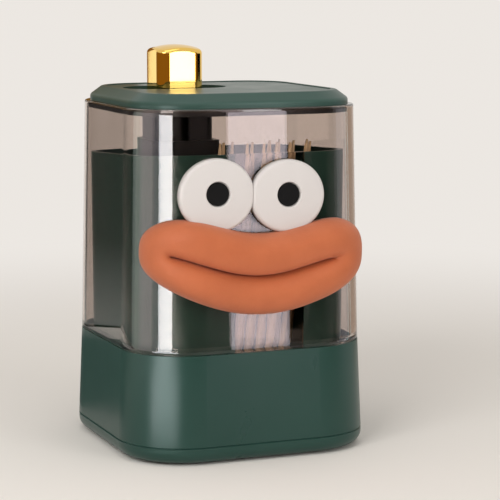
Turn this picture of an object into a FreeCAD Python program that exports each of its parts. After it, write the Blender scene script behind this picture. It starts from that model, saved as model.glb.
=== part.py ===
"""Toothpick dispenser: a lidded box whose pressed button lifts one toothpick through the lid.

Millimetres, +Z up, the feet stand on z = 0 and the face looks along -Y.
Every part is written to parts/ as its own STEP file.
"""
import math
import os

import FreeCAD
import Part

V = FreeCAD.Vector
UP = V(0, 0, 1)

# Body outline, a rounded square that narrows upwards: heights, half widths, corner radii
SEAM_Z = 5.0
SKIRT_TOP_Z = 30.4
SLEEVE_BOTTOM_Z = 30.7
SLEEVE_TOP_Z = 97.0
SEAM_HALF = 36.0
SKIRT_LEAN = 1.0
SLEEVE_LEAN = 1.4
SKIRT_TOP_HALF = SEAM_HALF - SKIRT_LEAN
SLEEVE_TOP_HALF = SKIRT_TOP_HALF - SLEEVE_LEAN
SEAM_RADIUS = 19.0
SKIRT_CORNER_LEAN = 0.6
SLEEVE_CORNER_LEAN = 0.8
SKIRT_TOP_RADIUS = SEAM_RADIUS - SKIRT_CORNER_LEAN
SLEEVE_TOP_RADIUS = SKIRT_TOP_RADIUS - SLEEVE_CORNER_LEAN
EDGE_BREAK = 0.3

# Bottom cover, feet and their screws
FOOT_PROUD = 0.6
FOOT_SINK = 0.8
FOOT_RADIUS = 4.0
FOOT_SIDE_INSET = 22.0
FOOT_X = SEAM_HALF - FOOT_SIDE_INSET
FOOT_INSET = 10.0
FOOT_Y = SEAM_HALF - FOOT_INSET
COVER_FLOOR = 2.0
COVER_WALL = 2.0
COVER_ROUND = 3.2
COVER_LIP = 1.2
COVER_LIP_RISE = 2.0
COVER_LIP_GAP = 0.1
BASE_SCREW_INSET = 11.5
BASE_SCREW_AT = SEAM_HALF - BASE_SCREW_INSET
BASE_BOSS_RADIUS = 3.2
BASE_SCREW_RADIUS = 1.4
BASE_SCREW_LENGTH = 9.0
BASE_HEAD_RADIUS = 2.6
BASE_HEAD_HEIGHT = 1.5
COUNTERBORE_RADIUS = 2.9
COUNTERBORE_DEPTH = 1.9
THREAD_FIT = 0.02
PILOT_SPARE = 1.0

# Skirt
SKIRT_WALL = 2.2
DECK_BOTTOM_Z = 18.0
DECK_TOP_Z = 20.0
RABBET_DEPTH = 3.0
RABBET_WALL = 1.1

# Clear sleeve
SLEEVE_WALL = 1.6
TONGUE_GAP = 0.1
TONGUE_WALL = 0.9
RIM_BREAK = 0.4

# Hopper bin and its clear front pane
BIN_TOP_Z = 84.6
BIN_FLOOR = 2.0
BIN_BASE_INSET = 4.2
BIN_RIM_INSET = 2.6
BIN_BOTTOM_HALF = SKIRT_TOP_HALF - BIN_BASE_INSET
BIN_TOP_HALF = SLEEVE_TOP_HALF - BIN_RIM_INSET
BIN_BASE_CORNER_INSET = 2.5
BIN_RIM_CORNER_INSET = 2.0
BIN_BOTTOM_RADIUS = SKIRT_TOP_RADIUS - BIN_BASE_CORNER_INSET
BIN_TOP_RADIUS = SLEEVE_TOP_RADIUS - BIN_RIM_CORNER_INSET
BIN_WALL = 1.4
BIN_RIM_DROP = 3.2
WINDOW_LEFT_X = -7.0
WINDOW_RIGHT_X = 13.5
WINDOW_BOTTOM_Z = 24.6
PANE_GAP = 0.05
PANE_LIP_THICKNESS = 0.8
PANE_LIP_OVERLAP = 1.5

# Tower, its centre line also carries the button
TOWER_SIDE_ROOM = 26.0
TOWER_BACK_ROOM = 28.0
TOWER_X = TOWER_SIDE_ROOM - SEAM_HALF
TOWER_Y = SEAM_HALF - TOWER_BACK_ROOM
TOWER_TOP_Z = 86.0
TOWER_HALF = 10.2
TOWER_WALL = 1.4
TOWER_RADIUS = 2.0
TOWER_INNER_RADIUS = 0.6
TOWER_HOLE_GAP = 0.1
TOWER_FLANGE_REACH = 2.0
TOWER_FLANGE_HALF = TOWER_HALF + TOWER_FLANGE_REACH
TOWER_FLANGE_HEIGHT = 1.2
TOWER_FOOT_REACH = 2.8
TOWER_FOOT_HALF = TOWER_HALF + TOWER_FOOT_REACH
TOWER_FOOT_HEIGHT = 2.4
TOWER_SCREW_INSET = 2.0
TOWER_SCREW_AT = TOWER_FOOT_HALF - TOWER_SCREW_INSET
TOWER_BOSS_RADIUS = 2.2
TOWER_BOSS_HEIGHT = 6.4
TOWER_SCREW_RADIUS = 1.1
TOWER_SCREW_LENGTH = 6.5
TOWER_HEAD_RADIUS = 1.9
TOWER_HEAD_HEIGHT = 1.1
TOWER_COUNTERBORE_RADIUS = 2.2
TOWER_COUNTERBORE_DEPTH = 1.2

# Gear train: a rack pushed down turns the pinion, the large gear lifts the second rack
MODULE = 0.5
PINION_TEETH = 10
GEAR_TEETH = 25
PRESSURE_ANGLE_DEG = 25.0
ADDENDUM_SHARE = 0.8
DEDENDUM_SHARE = 1.0
TOOTH_SLACK = 0.07
AXLE_X = -0.9
AXLE_Z = 40.0
AXLE_RADIUS = 1.0
AXLE_FIT = 0.04
AXLE_SEAT_DEPTH = 0.9
AXLE_BOSS_RADIUS = 2.2
PINION_FRONT_Y = -5.0
GEAR_FRONT_Y = 0.4
GEAR_BACK_Y = 4.6
LAYER_GAP = 0.3
SLIDE_GAP = 0.15
CARRIAGE_LOWER_TEETH = 2
CARRIAGE_UPPER_TEETH = 9
CARRIAGE_BAR_BOTTOM_Z = 34.0
LIFTER_LOWER_TEETH = 18
LIFTER_UPPER_TEETH = 2
LIFTER_BAR_BOTTOM_Z = 9.0
LIFTER_BAR_TOP_Z = 44.4
BUTTON_STROKE = 10.0

# Carriage head and return spring
HEAD_TOP_GAP = 2.8
HEAD_TOP_Z = TOWER_TOP_Z - HEAD_TOP_GAP
HEAD_HEIGHT = 2.5
HEAD_SIDE_GAP = 0.4
HEAD_HALF = TOWER_HALF - TOWER_WALL - HEAD_SIDE_GAP
HEAD_RADIUS = 0.8
SPRING_X = 1.0
SPRING_SEAT_Z = 51.6
SPRING_SEAT_HEIGHT = 2.4
SPRING_SEAT_HALF = 3.4
SPRING_RADIUS = 2.7
SPRING_WIRE_RADIUS = 0.4
SPRING_TURNS = 6
SPRING_NUB_RADIUS = 1.9
SPRING_NUB_HEIGHT = 2.0

# Toothpick lift: finger, slot, groove and the served toothpick
PICK_LENGTH = 65.0
PICK_RADIUS = 0.85
PICK_TIP_RADIUS = 0.4
PICK_TAPER = 5.0
PICK_TIP_SINK = 0.02
LANE_X = 11.6
FINGER_THICKNESS = 1.7
FINGER_HALF = 0.95
FINGER_REACH = 1.1
SLOT_HALF = 1.25
SLOT_SPARE = 0.8
RIB_THICKNESS = 0.9
RIB_REACH = 2.3
RIB_TOP_Z = 84.0

# Lid, its dark liner and the liner screws
LID_STEP = 1.5
LID_CORNER_STEP = 1.2
LID_HALF = SLEEVE_TOP_HALF - LID_STEP
LID_RADIUS = SLEEVE_TOP_RADIUS - LID_CORNER_STEP
LID_TOP_Z = 101.0
LID_BEVEL_HEIGHT = 2.4
LID_BEVEL_WIDTH = 3.3
LID_ROUND = 1.2
LID_WALL = 1.8
LID_ROOF = 2.2
PANEL_INSET = 4.7
PANEL_CORNER_INSET = 4.4
PANEL_HALF = LID_HALF - PANEL_INSET
PANEL_RADIUS = LID_RADIUS - PANEL_CORNER_INSET
PANEL_DEPTH = 0.25
STADIUM_LENGTH = 30.4
STADIUM_WIDTH = 16.4
STADIUM_FIT = 0.15
STADIUM_RECESS = 1.3
LINER_PLATE = 1.6
LINER_PLATE_TOP_Z = 97.6
LINER_PLATE_GAP = 0.1
LINER_PLATE_CORNER_GAP = 0.4
LINER_PLATE_HALF = LID_HALF - LID_WALL - LINER_PLATE_GAP
LINER_PLATE_RADIUS = LID_RADIUS - LID_WALL - LINER_PLATE_CORNER_GAP
PLUG_GAP = 0.2
PLUG_CORNER_GAP = 0.1
PLUG_HALF = SLEEVE_TOP_HALF - SLEEVE_WALL - PLUG_GAP
PLUG_RADIUS = SLEEVE_TOP_RADIUS - SLEEVE_WALL - PLUG_CORNER_GAP
PLUG_WALL = 1.8
PLUG_BOTTOM_Z = 95.0
PLUG_TOP_Z = 96.9
TUBE_GAP = 0.2
TUBE_HALF = TOWER_HALF - TOWER_WALL - TUBE_GAP
TUBE_RADIUS = 2.0
TUBE_HEAD_GAP = 0.4
TUBE_BOTTOM_Z = HEAD_TOP_Z + TUBE_HEAD_GAP
OUTLET_RADIUS = 1.5
OUTLET_FUNNEL_RADIUS = 2.6
OUTLET_FUNNEL_DEPTH = 1.2
LID_SCREW_INSET = 11.1
LID_SCREW_AT = LID_HALF - LID_SCREW_INSET
LID_BOSS_RADIUS = 2.6
LID_SCREW_RADIUS = 1.0
LID_SCREW_LENGTH = 3.6
LID_HEAD_RADIUS = 1.9
LID_HEAD_HEIGHT = 1.2
LUG_HALF = 1.1
LUG_REACH = 0.8
LUG_SIDE_GAP = 0.15

# Button and the hole that guides it
CAP_HALF = 6.8
CAP_RADIUS = 3.0
BUTTON_GAP = 0.2
BUTTON_HOLE_HALF = CAP_HALF + BUTTON_GAP
BUTTON_HOLE_RADIUS = CAP_RADIUS + BUTTON_GAP
CAP_RISE = 12.0
CAP_TOP_Z = LID_TOP_Z + CAP_RISE
CAP_WALL = 1.1
CAP_ROUND = 1.3
CAP_DOME_RADIUS = 22.0
STEM_STOP_GAP = 0.04
STEM_COLLAR = 2.0
STEM_PLUG_HEIGHT = 10.0
STEM_PLUG_GAP = 0.05
STEM_POST_HALF = 4.2
STEM_POST_RADIUS = 0.8

# Face
EYES_X = -3.5
EYE_Z = 74.5
RIGHT_EYE_DROP = 0.9
EYE_SPACING = 20.6
EYE_RADIUS = 10.2
EYE_LEVEL_SHARE = 0.65
EYE_PROUD = 2.81
EYE_FRONT_Y = -SKIRT_TOP_HALF + EYE_LEVEL_SHARE * SLEEVE_LEAN - EYE_PROUD
EYE_THICKNESS = 3.5
EYE_ROUND = 0.9
PUPIL_HOLE_RADIUS = 3.45
PUPIL_HOLE_DEPTH = 1.0
PUPIL_RADIUS = 3.2
PUPIL_THICKNESS = 0.6
LIP_SEAT_GAP = 0.1
GLUE_GAP = 0.02
LIPS_X = -1.5
LIP_TILT_DEG = 1.7
LIP_SPARE = 2.0
LIP_SIZE = SEAM_HALF / 2 + LIP_SPARE
LIP_OUTLINE_SHARES = ((0.0, 0.525), (0.45, 0.55), (0.76, 0.67), (1.045, 0.77), (1.32, 0.675),
                      (1.505, 0.405), (1.505, 0.065), (1.29, -0.25), (0.91, -0.465),
                      (0.47, -0.56), (0.0, -0.58))
LIP_LEVEL_SHARE = 0.35
LIP_PROUD = 7.49
LIP_FRONT_Y = -SKIRT_TOP_HALF + LIP_LEVEL_SHARE * SLEEVE_LEAN - LIP_PROUD
LIP_BLANK_DEPTH = 36.0
LIP_PLAN_HALF = SKIRT_TOP_HALF
LIP_PLAN_RADIUS = 16.0
LIP_ROUND = 5.0
CREASE_SPARE = 1.5
CREASE_HALF_LENGTH = LIP_SIZE + CREASE_SPARE
CREASE_END_Z = 56.8
CREASE_TOP_Z = 52.9
CREASE_BOTTOM_Z = 51.3
CREASE_DEPTH = 3.6
CREASE_FLOOR_Y = LIP_FRONT_Y + CREASE_DEPTH

# Toothpicks in the hopper, in rows from the front: shares of the room beside the middle for each
# stick's foot along X and for how far its top leans to the right
HOPPER_DEPTH = BIN_TOP_HALF + TOWER_Y - TOWER_FLANGE_HALF
PICK_FRONT_SHARE = 0.1
PICK_FRONT_GAP = 2.42
PICK_FRONT_ROOM = PICK_FRONT_GAP + PICK_FRONT_SHARE * HOPPER_DEPTH
PICK_ROW_PITCH = 2.3
PICK_SIDE_ROOM = 11.0
PICK_ROW_SHARES = (
    ((-0.265, 0.2), (-0.13, 0.315), (0.03, 0.35), (0.17, 0.41), (0.37, 0.44)),
    ((-0.57, 0.15), (-0.21, 0.265), (-0.05, 0.37), (0.11, 0.31), (0.27, 0.35)),
    ((-0.48, 0.155), (-0.12, 0.22), (0.02, 0.33), (0.56, 0.41)),
    ((-0.32, 0.17), (0.26, 0.15), (0.46, 0.31)),
    ((0.4, 0.2), (0.7, 0.325)))

OVERSHOOT = 4.0

# The frame's origin is the middle of the whole footprint, lips included
FRAME_SHIFT_Y = -(LIP_FRONT_Y + SEAM_HALF) / 2


def between(z, low, high):
    """Value at height z on the straight line through two (height, value) pairs."""
    share = (z - low[0]) / (high[0] - low[0])
    return low[1] + share * (high[1] - low[1])


def body_half(z):
    """Half width of the outer body at height z."""
    if z <= SKIRT_TOP_Z:
        return between(z, (SEAM_Z, SEAM_HALF), (SKIRT_TOP_Z, SKIRT_TOP_HALF))
    return between(z, (SKIRT_TOP_Z, SKIRT_TOP_HALF), (SLEEVE_TOP_Z, SLEEVE_TOP_HALF))


def body_radius(z):
    """Corner radius of the outer body at height z."""
    if z <= SKIRT_TOP_Z:
        return between(z, (SEAM_Z, SEAM_RADIUS), (SKIRT_TOP_Z, SKIRT_TOP_RADIUS))
    return between(z, (SKIRT_TOP_Z, SKIRT_TOP_RADIUS), (SLEEVE_TOP_Z, SLEEVE_TOP_RADIUS))


def rounded_square(half, radius, z, x=0.0, y=0.0):
    """Closed outline of a square with rounded corners, flat at height z."""
    flat = half - radius
    diagonal = radius * math.sqrt(0.5)
    edges = []
    corners = ((1, -1), (1, 1), (-1, 1), (-1, -1))
    for index, (sx, sy) in enumerate(corners):
        centre = V(x + sx * flat, y + sy * flat, z)
        across = V(centre.x + sx * radius, centre.y, z)
        along = V(centre.x, centre.y + sy * radius, z)
        start, end = (along, across) if index % 2 == 0 else (across, along)
        middle = V(centre.x + sx * diagonal, centre.y + sy * diagonal, z)
        if edges:
            edges.append(Part.makeLine(edges[-1].valueAt(edges[-1].LastParameter), start))
        edges.append(Part.Arc(start, middle, end).toShape())
    first = edges[0].valueAt(edges[0].FirstParameter)
    edges.append(Part.makeLine(edges[-1].valueAt(edges[-1].LastParameter), first))
    return Part.Wire(edges)


def block(half, radius, low, high, x=0.0, y=0.0):
    """Upright rounded square block between two heights."""
    face = Part.Face(rounded_square(half, radius, low, x, y))
    return face.extrude(V(0, 0, high - low))


def tapered(sections):
    """Block through (height, half width, corner radius) sections."""
    wires = [rounded_square(half, radius, z) for z, half, radius in sections]
    return Part.makeLoft(wires, True, True)


def body_inset(low, high, inset):
    """The outer body between two heights, moved inwards by inset."""
    levels = [low, high]
    if low < SKIRT_TOP_Z < high:
        levels = [low, SKIRT_TOP_Z, high]
    return tapered([(z, body_half(z) - inset, body_radius(z) - inset) for z in levels])


def box(x0, x1, y0, y1, z0, z1):
    """Plain box between two corners."""
    return Part.makeBox(x1 - x0, y1 - y0, z1 - z0, V(x0, y0, z0))


def rod(radius, low, high, x, y):
    """Upright cylinder between two heights."""
    return Part.makeCylinder(radius, high - low, V(x, y, low), UP)


def depth_rod(radius, front, back, x, z):
    """Cylinder lying along Y."""
    return Part.makeCylinder(radius, back - front, V(x, front, z), V(0, 1, 0))


def tower_box(x0, x1, y0, y1, z0, z1):
    """Box placed from the tower's centre line."""
    return box(TOWER_X + x0, TOWER_X + x1, TOWER_Y + y0, TOWER_Y + y1, z0, z1)


def four_corners(at, x=0.0, y=0.0):
    """The four points a distance from a centre along X and Y."""
    return [(x + sx * at, y + sy * at) for sx in (-1, 1) for sy in (-1, 1)]


def edges_at(shape, z):
    """The edges of a shape that lie flat at height z."""
    return [edge for edge in shape.Edges
            if all(abs(vertex.Point.z - z) < EDGE_BREAK / 2 for vertex in edge.Vertexes)]


def join(shapes):
    """One solid from touching or overlapping shapes."""
    result = shapes[0].fuse(shapes[1:]) if len(shapes) > 1 else shapes[0]
    return result.removeSplitter()


def flat_head_screw(x, y, head_bottom, head_radius, head_height, radius, length):
    """Screw driven upwards: pan head below, plain shank above, cross slot in the head."""
    head = rod(head_radius, head_bottom, head_bottom + head_height, x, y)
    head = head.makeFillet(head_height / 4, [head.Edges[2]])
    shank = rod(radius, head_bottom + head_height, head_bottom + head_height + length, x, y)
    slot_half = radius / 4
    slot_top = head_bottom + head_height / 2
    arm = head_radius / 2
    slots = join([box(x - arm, x + arm, y - slot_half, y + slot_half, head_bottom, slot_top),
                  box(x - slot_half, x + slot_half, y - arm, y + arm, head_bottom, slot_top)])
    return join([head, shank]).cut(slots)


COVER_BOTTOM_Z = FOOT_PROUD
COVER_TOP_Z = COVER_BOTTOM_Z + COVER_FLOOR


def make_bottom_cover():
    """Moulded tray that closes the base: rounded underside, lip, screw posts, foot pockets."""
    cover = block(SEAM_HALF, SEAM_RADIUS, COVER_BOTTOM_Z, SEAM_Z)
    cover = cover.makeChamfer(EDGE_BREAK, edges_at(cover, SEAM_Z))
    cover = cover.makeFillet(COVER_ROUND, edges_at(cover, COVER_BOTTOM_Z))
    inner = SEAM_HALF - COVER_WALL - COVER_LIP
    cover = cover.cut(block(inner, inner - SEAM_HALF + SEAM_RADIUS, COVER_TOP_Z,
                            SEAM_Z + OVERSHOOT))
    lip_half = SEAM_HALF - SKIRT_WALL - COVER_LIP_GAP
    lip_radius = SEAM_RADIUS - SKIRT_WALL - COVER_LIP_GAP
    lip = block(lip_half - EDGE_BREAK, lip_radius, COVER_TOP_Z, SEAM_Z + COVER_LIP_RISE)
    lip = lip.cut(block(inner, inner - SEAM_HALF + SEAM_RADIUS, COVER_TOP_Z,
                        SEAM_Z + OVERSHOOT))
    posts = [rod(BASE_BOSS_RADIUS, COVER_BOTTOM_Z, SEAM_Z, x, y)
             for x, y in four_corners(BASE_SCREW_AT)]
    cover = join([cover, lip] + posts)
    for x, y in four_corners(BASE_SCREW_AT):
        cover = cover.cut(rod(BASE_SCREW_RADIUS + THREAD_FIT, 0, SEAM_Z + OVERSHOOT, x, y))
        cover = cover.cut(rod(COUNTERBORE_RADIUS, 0, COVER_BOTTOM_Z + COUNTERBORE_DEPTH, x, y))
    for x, y in four_corners(TOWER_SCREW_AT, TOWER_X, TOWER_Y):
        cover = cover.cut(rod(TOWER_SCREW_RADIUS + THREAD_FIT, 0, SEAM_Z, x, y))
        cover = cover.cut(rod(TOWER_COUNTERBORE_RADIUS, 0,
                              COVER_BOTTOM_Z + TOWER_COUNTERBORE_DEPTH, x, y))
    for x, y in foot_places():
        cover = cover.cut(rod(FOOT_RADIUS, 0, COVER_BOTTOM_Z + FOOT_SINK, x, y))
    return cover


def foot_places():
    """Where the four feet sit."""
    return [(sx * FOOT_X, sy * FOOT_Y) for sx in (-1, 1) for sy in (-1, 1)]


def make_rubber_feet():
    """Four stuck-in rubber discs that the dispenser stands on."""
    feet = []
    for x, y in foot_places():
        foot = rod(FOOT_RADIUS, 0, COVER_BOTTOM_Z + FOOT_SINK, x, y)
        feet.append(foot.makeChamfer(EDGE_BREAK, [foot.Edges[2]]))
    return Part.makeCompound(feet)


def make_base_screws():
    """Four screws that hold the cover under the skirt."""
    head_bottom = COVER_BOTTOM_Z + COUNTERBORE_DEPTH - BASE_HEAD_HEIGHT
    return Part.makeCompound([
        flat_head_screw(x, y, head_bottom, BASE_HEAD_RADIUS, BASE_HEAD_HEIGHT,
                        BASE_SCREW_RADIUS, BASE_SCREW_LENGTH)
        for x, y in four_corners(BASE_SCREW_AT)])


def make_tower_screws():
    """Four smaller screws that hold the tower on the cover."""
    head_bottom = COVER_BOTTOM_Z + TOWER_COUNTERBORE_DEPTH - TOWER_HEAD_HEIGHT
    return Part.makeCompound([
        flat_head_screw(x, y, head_bottom, TOWER_HEAD_RADIUS, TOWER_HEAD_HEIGHT,
                        TOWER_SCREW_RADIUS, TOWER_SCREW_LENGTH)
        for x, y in four_corners(TOWER_SCREW_AT, TOWER_X, TOWER_Y)])


def make_base_skirt():
    """Moulded base: tapered wall, deck under the hopper, screw posts, rabbet for the sleeve."""
    outer = tapered([
        (SEAM_Z, SEAM_HALF - EDGE_BREAK, SEAM_RADIUS - EDGE_BREAK),
        (SEAM_Z + EDGE_BREAK, body_half(SEAM_Z + EDGE_BREAK), body_radius(SEAM_Z + EDGE_BREAK)),
        (SKIRT_TOP_Z, SKIRT_TOP_HALF, SKIRT_TOP_RADIUS)])
    below = tapered([
        (SEAM_Z, SEAM_HALF - SKIRT_WALL, SEAM_RADIUS - SKIRT_WALL),
        (DECK_BOTTOM_Z, body_half(DECK_BOTTOM_Z) - SKIRT_WALL,
         body_radius(DECK_BOTTOM_Z) - SKIRT_WALL)])
    skirt = outer.cut(below)
    skirt = skirt.cut(body_inset(DECK_TOP_Z, SKIRT_TOP_Z, SKIRT_WALL))
    skirt = skirt.cut(body_inset(SKIRT_TOP_Z - RABBET_DEPTH, SKIRT_TOP_Z, RABBET_WALL))
    posts = [rod(BASE_BOSS_RADIUS, SEAM_Z, DECK_BOTTOM_Z, x, y)
             for x, y in four_corners(BASE_SCREW_AT)]
    skirt = join([skirt] + posts)
    screw_tip = (COVER_BOTTOM_Z + COUNTERBORE_DEPTH + BASE_SCREW_LENGTH + PILOT_SPARE)
    for x, y in four_corners(BASE_SCREW_AT):
        skirt = skirt.cut(rod(BASE_SCREW_RADIUS + THREAD_FIT, SEAM_Z, screw_tip, x, y))
    hole = TOWER_HALF + TOWER_HOLE_GAP
    skirt = skirt.cut(block(hole, TOWER_RADIUS + TOWER_HOLE_GAP, DECK_BOTTOM_Z, DECK_TOP_Z,
                            TOWER_X, TOWER_Y))
    return skirt


def make_window_sleeve():
    """Clear smoky tube: its tongue stands in the skirt's rabbet, its rim carries the lid."""
    break_z = SLEEVE_TOP_Z - RIM_BREAK
    outer = tapered([
        (SLEEVE_BOTTOM_Z, body_half(SLEEVE_BOTTOM_Z), body_radius(SLEEVE_BOTTOM_Z)),
        (break_z, body_half(break_z), body_radius(break_z)),
        (SLEEVE_TOP_Z, SLEEVE_TOP_HALF - RIM_BREAK, SLEEVE_TOP_RADIUS - RIM_BREAK)])
    tongue_inset = RABBET_WALL + TONGUE_GAP
    tongue = body_inset(SKIRT_TOP_Z - RABBET_DEPTH, SLEEVE_BOTTOM_Z, tongue_inset)
    core = body_inset(SLEEVE_BOTTOM_Z - OVERSHOOT, SLEEVE_TOP_Z, tongue_inset + TONGUE_WALL)
    inner = body_inset(SLEEVE_BOTTOM_Z + TONGUE_WALL, SLEEVE_TOP_Z, SLEEVE_WALL)
    return join([outer, tongue]).cut(core).cut(inner)


def bin_block(low, high, inset):
    """The hopper bin's outside between two heights, moved inwards by inset."""
    ends = ((DECK_TOP_Z, BIN_BOTTOM_HALF), (BIN_TOP_Z, BIN_TOP_HALF))
    radii = ((DECK_TOP_Z, BIN_BOTTOM_RADIUS), (BIN_TOP_Z, BIN_TOP_RADIUS))
    return tapered([(z, between(z, *ends) - inset, between(z, *radii) - inset)
                    for z in (low, high)])


BIN_FLOOR_Z = DECK_TOP_Z + BIN_FLOOR
LANE_Y = (GEAR_FRONT_Y + GEAR_BACK_Y) / 2


def finger_notch(low, high, widen):
    """Passage for the lifting finger beside the tower."""
    return tower_box(TOWER_HALF - TOWER_WALL - SLIDE_GAP, LANE_X + FINGER_REACH + widen,
                     LANE_Y - SLOT_HALF - widen, LANE_Y + SLOT_HALF + widen, low, high)


def above_rim():
    """Everything above the bin's rim, which slopes down from the front to the back."""
    low = BIN_TOP_Z - BIN_RIM_DROP
    reach = BIN_TOP_HALF + OVERSHOOT
    side = Part.makePolygon([V(-reach, -BIN_TOP_HALF, BIN_TOP_Z),
                             V(-reach, BIN_TOP_HALF, low), V(-reach, reach, low),
                             V(-reach, reach, LID_TOP_Z), V(-reach, -BIN_TOP_HALF, LID_TOP_Z),
                             V(-reach, -BIN_TOP_HALF, BIN_TOP_Z)])
    return Part.Face(side).extrude(V(2 * reach, 0, 0))


def front_room(side_room, bottom_room, high):
    """Room of the bin's window in front of the toothpicks, narrowed by the given margins."""
    return box(WINDOW_LEFT_X + side_room, WINDOW_RIGHT_X - side_room,
               -BIN_TOP_HALF - OVERSHOOT, -BIN_TOP_HALF / 2, WINDOW_BOTTOM_Z + bottom_room, high)


def make_hopper_bin():
    """Moulded bin that holds the toothpicks, open at the top, with a window to the front."""
    shell = bin_block(DECK_TOP_Z, BIN_TOP_Z, 0.0).cut(
        bin_block(BIN_FLOOR_Z, BIN_TOP_Z, BIN_WALL)).cut(above_rim())
    window = front_room(0.0, 0.0, BIN_TOP_Z + OVERSHOOT)
    window = window.common(bin_block(DECK_TOP_Z, BIN_TOP_Z, 0.0).cut(
        bin_block(DECK_TOP_Z, BIN_TOP_Z, BIN_WALL + PANE_GAP)))
    hole = TOWER_HALF + TOWER_HOLE_GAP
    tower_hole = block(hole, TOWER_RADIUS + TOWER_HOLE_GAP, DECK_TOP_Z, BIN_FLOOR_Z,
                       TOWER_X, TOWER_Y)
    notch = finger_notch(DECK_TOP_Z, BIN_FLOOR_Z, SLIDE_GAP)
    return shell.cut(window).cut(tower_hole).cut(notch)


def make_hopper_pane():
    """Clear pane that fills the bin's window; its lip overlaps the bin wall inside."""
    lip_inset = BIN_WALL + PANE_GAP + PANE_LIP_THICKNESS
    pane = bin_block(DECK_TOP_Z, BIN_TOP_Z, 0.0).cut(bin_block(DECK_TOP_Z, BIN_TOP_Z, lip_inset))
    pane = pane.common(front_room(PANE_GAP, PANE_GAP, BIN_TOP_Z))
    lip = bin_block(DECK_TOP_Z, BIN_TOP_Z, BIN_WALL + PANE_GAP).cut(
        bin_block(DECK_TOP_Z, BIN_TOP_Z, lip_inset))
    lip = lip.common(front_room(-PANE_LIP_OVERLAP, -PANE_LIP_OVERLAP, BIN_TOP_Z))
    return join([pane, lip]).cut(above_rim())


PITCH = math.pi * MODULE
PINION_PITCH_RADIUS = MODULE * PINION_TEETH / 2
GEAR_PITCH_RADIUS = MODULE * GEAR_TEETH / 2
TOWER_INNER_HALF = TOWER_HALF - TOWER_WALL
CARRIAGE_PITCH_X = AXLE_X - PINION_PITCH_RADIUS
LIFTER_PITCH_X = AXLE_X + GEAR_PITCH_RADIUS
ADDENDUM = ADDENDUM_SHARE * MODULE
DEDENDUM = DEDENDUM_SHARE * MODULE
FLANK_POINTS = 5


def spur_gear(teeth, front, back, space_angle):
    """Involute spur gear about the axle, one tooth space centred on space_angle."""
    pressure = math.radians(PRESSURE_ANGLE_DEG)
    pitch_radius = MODULE * teeth / 2
    base_radius = pitch_radius * math.cos(pressure)
    tip_radius = pitch_radius + ADDENDUM
    root_radius = pitch_radius - DEDENDUM
    half_tooth = (PITCH / 2 - TOOTH_SLACK) / 2 / pitch_radius
    involute_at_pitch = math.tan(pressure) - pressure
    start_radius = max(base_radius, root_radius)

    def spot(radius, angle):
        return V(TOWER_X + AXLE_X + radius * math.cos(angle), TOWER_Y + front,
                 AXLE_Z + radius * math.sin(angle))

    def half_angle(radius):
        roll = math.acos(min(1.0, base_radius / radius))
        return half_tooth + involute_at_pitch - (math.tan(roll) - roll)

    radii = [start_radius + (tip_radius - start_radius) * step / (FLANK_POINTS - 1)
             for step in range(FLANK_POINTS)]
    edges = []
    for tooth in range(teeth):
        middle = space_angle + (tooth + 0.5) * 2 * math.pi / teeth
        rising = [spot(radius, middle - half_angle(radius)) for radius in radii]
        falling = [spot(radius, middle + half_angle(radius)) for radius in reversed(radii)]
        foot_in = spot(root_radius, middle - half_angle(start_radius))
        foot_out = spot(root_radius, middle + half_angle(start_radius))
        if start_radius > root_radius:
            edges.append(Part.makeLine(foot_in, rising[0]))
        for side in (rising, falling):
            curve = Part.BSplineCurve()
            curve.interpolate(side)
            edges.append(curve.toShape())
            if side is rising:
                edges.append(Part.Arc(rising[-1], spot(tip_radius, middle),
                                      falling[0]).toShape())
        if start_radius > root_radius:
            edges.append(Part.makeLine(falling[-1], foot_out))
        space = middle + math.pi / teeth
        next_middle = middle + 2 * math.pi / teeth
        next_foot = spot(root_radius, next_middle - half_angle(start_radius))
        edges.append(Part.Arc(foot_out, spot(root_radius, space), next_foot).toShape())
    outline = Part.Wire(Part.__sortEdges__(edges))
    return Part.Face(outline).extrude(V(0, back - front, 0))


def rack_teeth(pitch_x, side, below, above, front, back):
    """Straight rack teeth pointing along side, one tooth level with the axle."""
    slope = math.tan(math.radians(PRESSURE_ANGLE_DEG))
    half = (PITCH / 2 - TOOTH_SLACK) / 2
    root_x = TOWER_X + pitch_x - side * DEDENDUM
    tip_x = TOWER_X + pitch_x + side * ADDENDUM
    root_half = half + DEDENDUM * slope
    tip_half = half - ADDENDUM * slope
    teeth = []
    for number in range(-below, above + 1):
        z = AXLE_Z + number * PITCH
        y = TOWER_Y + front
        outline = Part.makePolygon([V(root_x - side * DEDENDUM, y, z - root_half),
                                    V(root_x, y, z - root_half), V(tip_x, y, z - tip_half),
                                    V(tip_x, y, z + tip_half), V(root_x, y, z + root_half),
                                    V(root_x - side * DEDENDUM, y, z + root_half),
                                    V(root_x - side * DEDENDUM, y, z - root_half)])
        teeth.append(Part.Face(outline).extrude(V(0, back - front, 0)))
    return teeth


def make_drive_gear():
    """Compound gear: small pinion in front, large gear behind, turning on the axle."""
    pinion = spur_gear(PINION_TEETH, PINION_FRONT_Y, GEAR_FRONT_Y, math.pi)
    gear = spur_gear(GEAR_TEETH, GEAR_FRONT_Y, GEAR_BACK_Y, 0.0)
    bore = depth_rod(AXLE_RADIUS + AXLE_FIT, TOWER_Y - OVERSHOOT * 2, TOWER_Y + OVERSHOOT * 2,
                     TOWER_X + AXLE_X, AXLE_Z)
    return pinion.fuse(gear).cut(bore)


def make_gear_axle():
    """Steel pin held between the tower halves."""
    reach = TOWER_INNER_HALF + AXLE_SEAT_DEPTH
    pin = depth_rod(AXLE_RADIUS, TOWER_Y - reach, TOWER_Y + reach, TOWER_X + AXLE_X, AXLE_Z)
    return pin.makeChamfer(AXLE_RADIUS / 5, [pin.Edges[0], pin.Edges[2]])


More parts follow.
